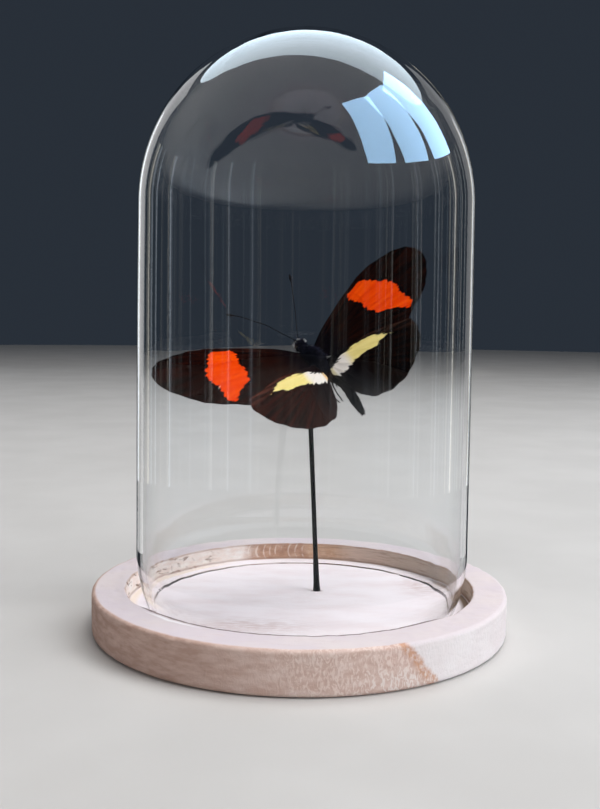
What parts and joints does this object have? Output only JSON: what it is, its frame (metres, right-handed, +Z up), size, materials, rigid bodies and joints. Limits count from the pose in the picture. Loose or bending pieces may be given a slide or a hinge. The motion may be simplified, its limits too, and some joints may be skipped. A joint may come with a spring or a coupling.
{
  "type": "mounted butterfly in glass dome",
  "caption": "Spread butterfly on a thin rod under a glass dome that stands in the recess of a round whitewashed wooden base.",
  "frame": {"origin": "centre of the base's underside", "axes": "+Z up along the dome's height; -Y towards the front, where the butterfly's upper side faces; +X to the right seen from the front"},
  "size_m": [0.1, 0.1, 0.141],
  "materials": {
    "wood": "whitewashed, matt",
    "glass": "clear, polished",
    "rod": "black, satin",
    "body": "dark hair",
    "wing": "dark scales, matt",
    "limb": "dark, satin"
  },
  "bodies": {
    "root": {"base": "wood", "dome": "glass", "rod": "rod", "thorax": "body", "head": "body", "abdomen": "body", "forewing_left": "wing", "forewing_right": "wing", "hindwing_left": "wing", "hindwing_right": "wing", "antenna_left": "limb", "antenna_right": "limb", "leg_middle_left": "limb", "leg_middle_right": "limb", "leg_hind_left": "limb", "leg_hind_right": "limb"}
  },
  "joints": []
}
